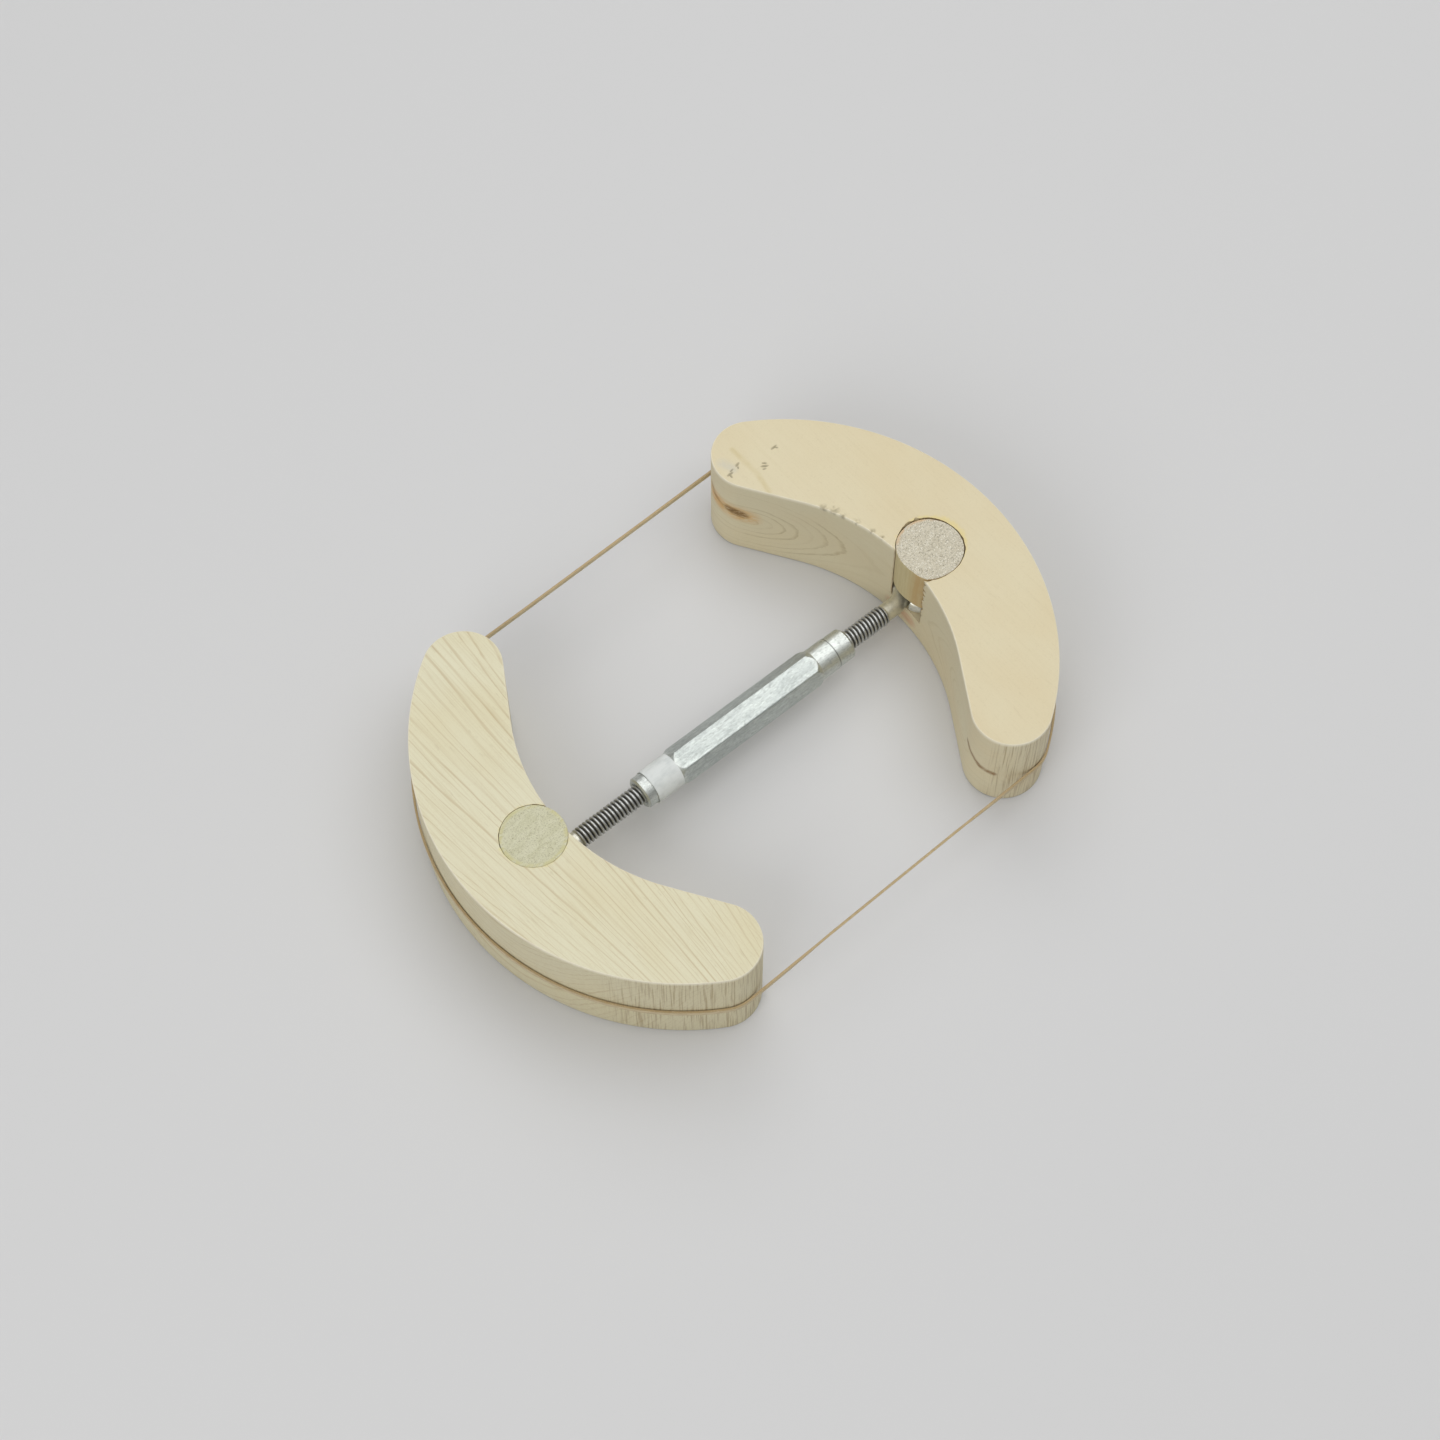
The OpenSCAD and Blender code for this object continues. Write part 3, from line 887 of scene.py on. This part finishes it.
def make_sleeve(name, finish):
    """Hexagon bar whose ends are turned round, with a spigot, chamfered rims and a bore."""
    half = SLEEVE_HALF
    around = 144
    turns = np.linspace(0, 2 * math.pi, around, endpoint=False)
    sixth = math.pi / 3
    corner = ACROSS_FLATS / 2 / math.cos(math.pi / 6)
    flats = ACROSS_FLATS / 2 / np.cos((turns + sixth / 2) % sixth - sixth / 2)
    flats = np.minimum(flats, corner - 0.1)
    step = half - SPIGOT_LENGTH
    ease = 0.06
    outline = [(half, SPIGOT_RADIUS - RIM_CHAMFER), (half - RIM_CHAMFER, SPIGOT_RADIUS),
               (step + ease, SPIGOT_RADIUS), (step, TURNED_RADIUS - 0.05),
               (step - ease, TURNED_RADIUS), (half - TURNED_LENGTH, TURNED_RADIUS)]
    rise = corner - TURNED_RADIUS
    outline += [(half - TURNED_LENGTH - TAPER_LENGTH * s, TURNED_RADIUS + rise * s)
                for s in np.linspace(0, 1, 9)[1:]]
    outline += [(x, corner) for x in np.linspace(HEX_HALF, 0, 12)[1:]]
    outline += [(-x, r) for x, r in outline[-2::-1]]
    bore = [(-half, BORE_RADIUS + RIM_CHAMFER), (-half + RIM_CHAMFER, BORE_RADIUS), (0, BORE_RADIUS),
            (half - RIM_CHAMFER, BORE_RADIUS), (half, BORE_RADIUS + RIM_CHAMFER)]
    way = turns + SLEEVE_TURN
    points = []
    for x, r in outline + bore:
        radius = np.minimum(flats, r)
        along = np.full(around, x + SLEEVE_MIDDLE)
        points.append(np.column_stack([along, -radius * np.sin(way), radius * np.cos(way) + AXIS_Z]))
    faces = ring_faces(len(points), around, close=True)
    return make_piece(name, np.vstack(points), faces, finish, sharp=14)


def make_paper(name, finish):
    """Strip of paper rolled once and a bit more round the front end of the sleeve."""
    start = SLEEVE_FRONT + 3.3
    width = 9.2
    thick = 0.11
    inner = TURNED_RADIUS + 0.03
    lap = math.radians(38)
    seam = math.radians(150)
    across = [0.0, 0.08, 0.3, 0.5, 0.7, 0.92, 1.0]
    count = 120
    points = []
    for turn in np.linspace(-lap, 2 * math.pi, count):
        rise = (thick + 0.02) * np.clip((turn - (2 * math.pi - 2 * lap)) / lap, 0, 1)
        way = seam + turn
        spot = (5 * math.cos(way), 5 * math.sin(way))
        edge = 0.12 * rough((*spot, 0), 3.0, 7)
        for base, spread in ((inner, across), (inner + thick, across[::-1])):
            for share in spread:
                curl = 0.03 * max(0.0, rough((share * 9, *spot), 4.0, 8))
                radius = base + rise + curl
                aside, above = -radius * math.sin(way), radius * math.cos(way) + AXIS_Z
                points.append((start + width * share + edge, aside, above))
    ring = 2 * len(across)
    faces = ring_faces(count, ring)
    faces.append(tuple(range(ring - 1, -1, -1)))
    faces.append(tuple(range((count - 1) * ring, count * ring)))
    return make_piece(name, points, faces, finish)


def band_tree():
    """Flat strip with rounded edges along a line, leaning as the line's own values say."""
    graph, g = geometry_tree("elastic_strip", {"Thickness": float, "Height": float, "Edge": float,
                                               "Finish": "material"})
    line = graph.add("GeometryNodeMeshToCurve", {"Mesh": g["Geometry"]}).outputs[0]
    line = graph.add("GeometryNodeSetCurveNormal", {"Curve": line}, mode="Z_UP").outputs[0]
    lean = graph.add("GeometryNodeInputNamedAttribute", {"Name": "lean"}, data_type="FLOAT").outputs[0]
    line = graph.add("GeometryNodeSetCurveTilt", {"Curve": line, "Tilt": lean}).outputs[0]
    strip = graph.add("GeometryNodeCurvePrimitiveQuadrilateral",
                      {"Width": g["Thickness"], "Height": g["Height"]}).outputs[0]
    strip = graph.add("GeometryNodeFilletCurve", {"Curve": strip, "Count": 3, "Radius": g["Edge"]},
                      mode="POLY").outputs[0]
    solid = graph.add("GeometryNodeCurveToMesh", {"Curve": line, "Profile Curve": strip, "Fill Caps": True})
    return end_tree(graph, solid.outputs[0], g["Finish"])


def make_strip(name, line, lean, finish, tree):
    """Length of the band along a line of points in millimetres."""
    path = bpy.data.meshes.new(name + "_line")
    points = np.column_stack([line, np.full(len(line), BAND_LEVEL)]) * MM
    path.from_pydata(points.tolist(), [(i, i + 1) for i in range(len(line) - 1)], [])
    layer = path.attributes.new("lean", "FLOAT", "POINT")
    layer.data.foreach_set("value", np.asarray(lean, np.float32))
    mesh = grown(tree, name, {"Thickness": BAND_THICKNESS * MM, "Height": BAND_HEIGHT * MM,
                              "Edge": BAND_EDGE * MM, "Finish": finish}, path)
    return finish_piece(name, mesh, finish, sharp=60)


def nose_line(grow):
    """Line of the band from one tip round the nose to the other, a margin outside the wood."""
    first, last = math.pi - OUTER_ANGLE, math.pi + OUTER_ANGLE
    runs = [arc((TIP_X, TIP_Y), TIP_RADIUS + grow, math.pi / 2, first, 40)[0],
            arc((OUTER_RADIUS, 0), OUTER_RADIUS + grow, first, last, 140)[0][1:-1],
            arc((TIP_X, -TIP_Y), TIP_RADIUS + grow, last, 3 * math.pi / 2, 40)[0]]
    return skewed(np.vstack(runs) + [NOSE_X, 0])


def lamp(name, place, aim, width, watts):
    """Square lamp that faces a point."""
    light = bpy.data.lights.new(name, "AREA")
    light.size = width
    light.energy = watts
    holder = bpy.data.objects.new(name, light)
    holder.location = place
    holder.rotation_euler = (Vector(aim) - Vector(place)).to_track_quat("-Z", "Y").to_euler()
    bpy.context.scene.collection.objects.link(holder)


# Finishes
PEACH = {
    "top": srgb(224, 213, 180), "side": srgb(221, 212, 181),
    "blotch": srgb(220, 204, 166), "blotch_share": 0.6,
    "line": srgb(168, 149, 102), "line_start": 0.6, "top_lines": 0.04, "side_lines": 0.5,
    "fibre": srgb(196, 180, 142), "fibre_share": 0.08, "speck_share": 0.2,
    "saw": srgb(166, 144, 104), "fleck_share": 0.06,
    # The torn colour is torn wood, partly painted shade in the joint's gap
    "torn_and_gap_shade": srgb(140, 104, 56), "glue": srgb(227, 210, 146),
    # The arris colour is a painted highlight on the edges of the top; the dent colour is painted shade in
    # dents and torn spots
    "arris": srgb(246, 239, 218), "dent_shade": srgb(122, 115, 94),
}
CREAM = dict(
    PEACH, top=srgb(226, 221, 192), side=srgb(221, 213, 181), blotch=srgb(221, 211, 174),
    line=srgb(182, 156, 110), line_start=0.72, top_lines=0.55,
    fibre=srgb(198, 182, 142), fibre_share=0.3, fleck_share=0.12, glue=srgb(225, 214, 146),
)
# Growth rings: the pith's x and z, the gap between rings, and how they bend, close up and fade
front_rings = {
    "pith": (40, -60), "gap": 1.75, "uneven": 1.3, "wander": 4.0, "middle": -68, "closing": 0.0064,
    "lean": 0.0, "clear": 900.0, "tall": 900.0, "right_share": 1.0,
}
rear_rings = {
    "pith": (48, 15.7), "gap": 2.0, "uneven": 0.6, "wander": 2.0, "middle": 60, "closing": 0.0,
    "lean": 0.05, "clear": 13.6, "tall": 8.0, "right_share": 0.35,
}
# Knots, stains and scuffs: points, width, solid share of it, colour and strength
rear_marks = [
    ([(43.5, 58.0, 19.6), (44.0, 45.0, 18.0)], 5.5, 0.1, srgb(214, 164, 88), 0.9),
    ([(42.6, 61.5, 24.0), (42.9, 58.0, 20.6), (43.4, 54.5, 19.4)], 1.6, 0.2, srgb(158, 116, 60), 0.85),
    ([(43.7, 52.6, 19.4), (44.0, 47.2, 18.4)], 2.5, 0.3, srgb(110, 80, 40), 0.95),
    ([(50.9, 60.0, 34.0), (51.0, 49.5, 34.0), (49.5, 42.0, 34.0)], 1.3, 0.1, srgb(204, 186, 132), 0.5),
    ([(45.5, 58.5, 34.0), (46.5, 55.0, 34.0)], 2.6, 0.1, srgb(204, 201, 186), 0.55),
    ([(43.7, -50.0, 18.8), (42.4, -56.7, 14.9), (43.7, -61.0, 14.6)], 1.5, 0.2, srgb(140, 104, 60), 0.9),
    ([(64.0, 3.0, 4.5), (64.0, -5.0, 4.5)], 3.6, 0.2, srgb(206, 160, 124), 0.7),
]
front_pine = pine("front_pine", CREAM, front_rings, [])
rear_pine = pine("rear_pine", PEACH, rear_rings, rear_marks)
front_dowel = dowel("front_dowel", EYE_X, {
    "top": srgb(212, 210, 182), "cloud": srgb(202, 200, 168),
    "pore": srgb(148, 140, 108), "pore_share": 0.75,
    "light": srgb(230, 228, 206), "light_share": 0.5,
    "rim": srgb(206, 200, 148), "rim_from": -20.0,
    "side": srgb(206, 192, 148), "side_fibre": srgb(190, 174, 128),
    "stain": srgb(190, 156, 104), "stain_share": 0.0,
})
rear_dowel = dowel("rear_dowel", -EYE_X, {
    "top": srgb(214, 207, 186), "cloud": srgb(204, 196, 174),
    "pore": srgb(118, 109, 84), "pore_share": 0.9,
    "light": srgb(255, 253, 244), "light_share": 0.95,
    "rim": srgb(216, 180, 132), "rim_from": 3.5,
    "side": srgb(206, 193, 150), "side_fibre": srgb(190, 174, 128),
    "stain": srgb(190, 154, 100), "stain_share": 0.75,
})
bare_aluminium = aluminium("bare_aluminium")
elastic = rubber("natural_rubber")
blank_paper = paper("blank_paper")

# Blocks and plugs
# How far a joint runs past the drilled circle, by degrees about the eye
ROUND = {0: 0.0}
rear_wall = {-160: 1.9, -135: 1.8, -100: 1.1, -40: 0.9, 10: 0.1, 35: 0.0, 150: 0.0}
# How far the rear plug and its glue follow, by degrees about the eye
rear_fill = {-160: 0.3, -135: 1.6, -100: 1.0, -40: 0.75, 10: 0.0, 35: -0.3, 100: -0.3, 125: 0.0, 180: 0.0}
# How wide the glue spreads on top, by degrees about the eye
front_glue = {0: 0.5, 180: 0.7}
rear_glue = {-150: 0.3, -60: 0.5, 0: 2.4, 60: 1.2, 130: 0.6, 160: 0.3}
# Where a joint gapes: angle in the block's own frame, half of its span in radians, and width
front_gapes = [(math.radians(150), 0.5, 0.15)]
rear_gapes = [(math.radians(-112), 0.65, 0.45), (math.radians(146), 0.5, 0.3)]
# Dents in the rear top: x, y, direction, half length, half width and depth
rear_dents = [
    (60.6, 52.7, 0.08, 1.3, 0.36, 0.35),
    (61.1, 52.2, -0.95, 0.7, 0.28, 0.25),
    (54.3, 49.6, -0.55, 1.3, 0.42, 0.4),
    (54.9, 50.4, -0.75, 0.9, 0.3, 0.3),
    (53.6, 48.9, -0.45, 0.7, 0.28, 0.25),
    (48.6, 55.2, 0.33, 1.0, 0.4, 0.35),
    (48.1, 54.3, 1.2, 0.6, 0.3, 0.25),
    (44.9, 54.1, -0.03, 1.3, 0.4, 0.35),
    (44.6, 53.4, -1.67, 0.8, 0.35, 0.3),
    (46.0, 54.8, 0.2, 0.8, 0.3, 0.25),
]
# Torn spots along the rear hollow: x, y, reach and depth
rear_tears = [
    (57.9, 27.8, 1.6, 0.7),
    (59.7, 25.0, 1.8, 0.8),
    (60.2, 22.1, 1.3, 0.6),
    (61.9, 18.1, 1.5, 0.7),
    (63.3, 12.7, 1.2, 0.6),
    (63.9, 9.4, 1.1, 0.6),
]
front_block = make_block("front_block_wood", 1, front_pine, 3, (0.4, 0.4), front_gapes, ROUND, front_glue)
rear_block = make_block("rear_block_wood", -1, rear_pine, 6, (1.5, 0.2), rear_gapes, rear_wall, rear_glue,
                        dents=rear_dents, tears=rear_tears)
front_plug = make_plug("front_plug_wood", EYE_X, front_dowel, ROUND)
rear_plug = make_plug("rear_plug_wood", -EYE_X, rear_dowel, rear_fill)
for piece, body, node, slot in ((front_block, "front_half", "front_block", "block_wood"),
                                (rear_block, "rear_half", "rear_block", "block_wood"),
                                (front_plug, "front_half", "front_plug", "plug_wood"),
                                (rear_plug, "rear_half", "rear_plug", "plug_wood")):
    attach(piece, body)
    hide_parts(node)

# Bolts, sleeve and paper
screw = thread_tree()
for side, turn, hand, start in (("front", 1, 1.0, FRONT_THREAD_START), ("rear", -1, -1.0, THREAD_START)):
    plated = zinc(side + "_zinc_plate", start)
    bolt = make_bolt(side + "_bolt_steel", turn, hand, start, plated, screw)
    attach(bolt, side + "_bolt")
    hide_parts(side + "_eye_bolt")
sleeve = make_sleeve("sleeve_aluminium", bare_aluminium)
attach(sleeve, "sleeve")
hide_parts("sleeve")
wrap = make_paper("sleeve_paper", blank_paper)
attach(wrap, "sleeve")

# Elastic band: a length round each nose, and straight lengths that stretch between the halves
strip = band_tree()
grow = BAND_GAP + BAND_THICKNESS / 2
strand_y = BLOCK_WIDTH / 2 + grow
tip_line = -NOSE_X - TIP_X
half_way = 22.5
lean_run = 30
end_margin = 0.5
round_nose = nose_line(grow)
lengths = []
for side, turn in (("front", 1), ("rear", -1)):
    nose = make_strip(side + "_band_nose", round_nose * turn, np.zeros(len(round_nose)), elastic, strip)
    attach(nose, side + "_half")
    lengths.append(nose)
    for hand, across, lean in (("left", 1, -4.0), ("right", -1, 20.0)):
        for part, near, far, bodies in (("middle", 0.0, half_way, ("band", side + "_bolt")),
                                        ("tip", half_way, tip_line, (side + "_bolt", side + "_half"))):
            along = np.linspace(near, far, 31)
            tilt = np.radians(lean) * np.clip((tip_line - along) / lean_run, 0, 1) ** 2
            inset = BAND_HEIGHT / 2 * np.abs(np.sin(tilt))
            line = skewed(np.column_stack([-along * turn, across * (strand_y - inset)]))
            piece = make_strip(f"{side}_band_{hand}_{part}", line, across * turn * tilt, elastic, strip)
            ends = skewed([(-reach * turn, across * strand_y, 0) for reach in (near, far - end_margin)]) * MM
            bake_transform(piece)
            lengths.append(piece)
for piece in lengths:
    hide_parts("elastic_band")

# Floor and light
FLOOR_HALF = 4
FLOOR_DROP = 0.0003
floor_finish = Finish("pale_floor", Base_Color=srgb(214, 214, 214), Roughness=0.9).material
floor_mesh = bpy.data.meshes.new("floor")
floor_corners = [(x * FLOOR_HALF, y * FLOOR_HALF, -FLOOR_DROP)
                 for x, y in ((-1, -1), (1, -1), (1, 1), (-1, 1))]
floor_mesh.from_pydata(floor_corners, [], [(0, 1, 2, 3)])
floor_mesh.materials.append(floor_finish)
floor = bpy.data.objects.new("floor", floor_mesh)
bpy.context.scene.collection.objects.link(floor)

world = bpy.data.worlds.new("studio")
world.use_nodes = True
bpy.context.scene.world = world
sky = Graph(world.node_tree)
way = sky.split(sky.add("ShaderNodeTexCoord").outputs["Generated"])
glow = sky.ramp(way[2], -0.1, 0.9, 0.14, 0.56)
background = world.node_tree.nodes["Background"]
background.inputs["Color"].default_value = (1.0, 1.0, 1.0, 1.0)
sky.feed(background.inputs["Strength"], glow)

lamp("top_lamp", (0.38, -0.1, 1.2), (0, 0, 0.02), 1.0, 4.4)
lamp("side_lamp", (-1.05, -0.35, 0.85), (0, 0, 0.02), 0.8, 4.8)
lamp("back_lamp", (0.5, 0.9, 1.1), (0, 0, 0.02), 0.9, 3.8)

# Camera, with distances in millimetres
TARGET = np.array([-10.033, -5.052, 34.0])
DISTANCE = 819.76
TURN = math.radians(39.587)
RISE = math.radians(62.796)
FOCUS_PIXELS = 2940.3
PICTURE_PIXELS = 1440
SENSOR = 36.0
back = np.array([-math.sin(TURN) * math.cos(RISE), -math.cos(TURN) * math.cos(RISE), math.sin(RISE)])
camera_data = bpy.data.cameras.new("camera")
camera_data.sensor_width = SENSOR
camera_data.lens = FOCUS_PIXELS / PICTURE_PIXELS * SENSOR
camera = bpy.data.objects.new("camera", camera_data)
camera.location = (TARGET + DISTANCE * back) * MM
camera.rotation_euler = Vector(-back).to_track_quat("-Z", "Y").to_euler()
bpy.context.scene.collection.objects.link(camera)
bpy.context.scene.camera = camera
bpy.context.scene.view_settings.view_transform = "Standard"

bpy.context.view_layer.update()
